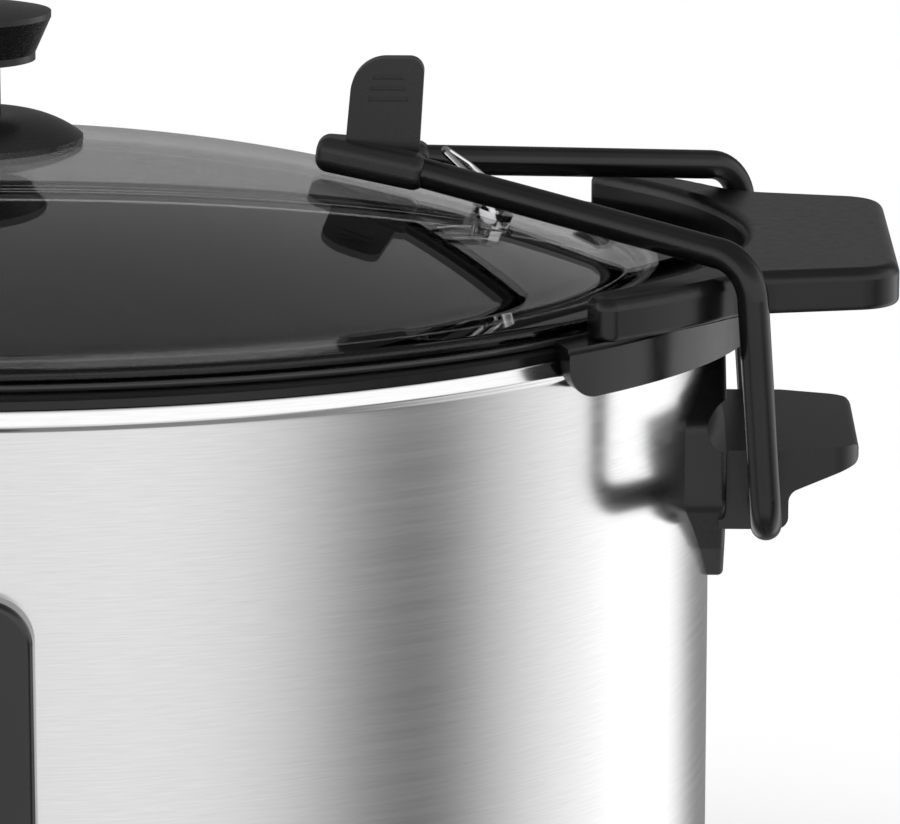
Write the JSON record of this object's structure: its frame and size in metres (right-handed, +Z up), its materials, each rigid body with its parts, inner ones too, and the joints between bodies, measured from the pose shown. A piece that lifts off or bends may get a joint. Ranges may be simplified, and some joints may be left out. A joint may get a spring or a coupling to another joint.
{
  "type": "slow_cooker",
  "caption": "Oval slow cooker: steel housing, black crock with tab ears, smoked glass lid held by two swing-over wire bails, front dial.",
  "frame": {"origin": "on the table, under the middle of the overall box; the oval's own middle is 9 mm behind it because the dial stands out at the front", "axes": "+X to the right along the oval's long axis, with the two carrying tabs at +X and -X; the control panel faces -Y; +Z up"},
  "size_m": [0.387, 0.282, 0.2592],
  "materials": {
    "steel": "brushed round the oval",
    "black_plastic": "fine satin",
    "rubber": "matt",
    "liner_metal": "dull grey coat",
    "heater": "foil",
    "zinc": "zinc plate",
    "fuse": "lacquer",
    "pale_plastic": "moulded",
    "panel_plastic": "gloss",
    "lens": "clear red",
    "stoneware": "black glaze",
    "smoked_glass": "smoked, polished",
    "knob_plastic": "satin gloss",
    "chrome": "bright",
    "coated_wire": "black powder coat",
    "pointer": "white"
  },
  "bodies": {
    "housing": {"outer_shell": "steel", "base_tray": "black_plastic", "rubber_feet": "rubber", "heating_liner": "liner_metal", "heater_band": "heater", "heat_shield": "zinc", "spacer_tubes": "zinc", "center_bolt": "zinc", "center_nut": "zinc", "thermal_fuse": "fuse", "terminal_block": "pale_plastic", "cord_grommet": "rubber", "control_panel": "panel_plastic", "rotary_switch": "pale_plastic", "indicator_lens": "lens", "handle_right": "black_plastic", "handle_left": "black_plastic", "handle_screws": "zinc", "bail_bushes": "black_plastic", "crock": "stoneware"},
    "lid": {"lid_glass": "smoked_glass", "lid_gasket": "rubber", "lid_knob": "knob_plastic", "knob_base": "knob_plastic", "knob_screw": "zinc", "knob_washer": "zinc", "port_bushing": "chrome", "port_nut": "chrome", "port_plug": "rubber"},
    "ring": {"pull_ring": "chrome"},
    "bail_right": {"bail_wire_right": "coated_wire", "latch_grip_right": "black_plastic"},
    "bail_left": {"bail_wire_left": "coated_wire", "latch_grip_left": "black_plastic"},
    "dial": {"dial_knob": "knob_plastic", "dial_pointer": "pointer", "switch_shaft": "zinc"}
  },
  "joints": [
    {"name": "bail_right_hinge", "type": "hinge", "parent": "housing", "child": "bail_right", "pos_m": [0.1666, 0.009, 0.161], "axis": [0, 1, 0], "range_deg": [0, 195]},
    {"name": "bail_left_hinge", "type": "hinge", "parent": "housing", "child": "bail_left", "pos_m": [-0.1666, 0.009, 0.161], "axis": [0, -1, 0], "range_deg": [0, 195]},
    {"name": "lid_lift", "type": "slide", "parent": "housing", "child": "lid", "axis": [0, 0, 1], "range_m": [0, 0.0409]},
    {"name": "ring_hinge", "type": "hinge", "parent": "lid", "child": "ring", "pos_m": [0.11136, 0.009, 0.21914], "axis": [0, 1, 0], "range_deg": [0, 85]},
    {"name": "dial_turn", "type": "hinge", "parent": "housing", "child": "dial", "pos_m": [0, -0.1255, 0.092], "axis": [0, 1, 0], "range_deg": [0, 270]}
  ],
  "couplings": [
    {"joint": "bail_left_hinge", "follows": "bail_right_hinge", "ratio": 1},
    {"joint": "lid_lift", "follows": "bail_right_hinge", "m_per_rad": 0.012}
  ]
}
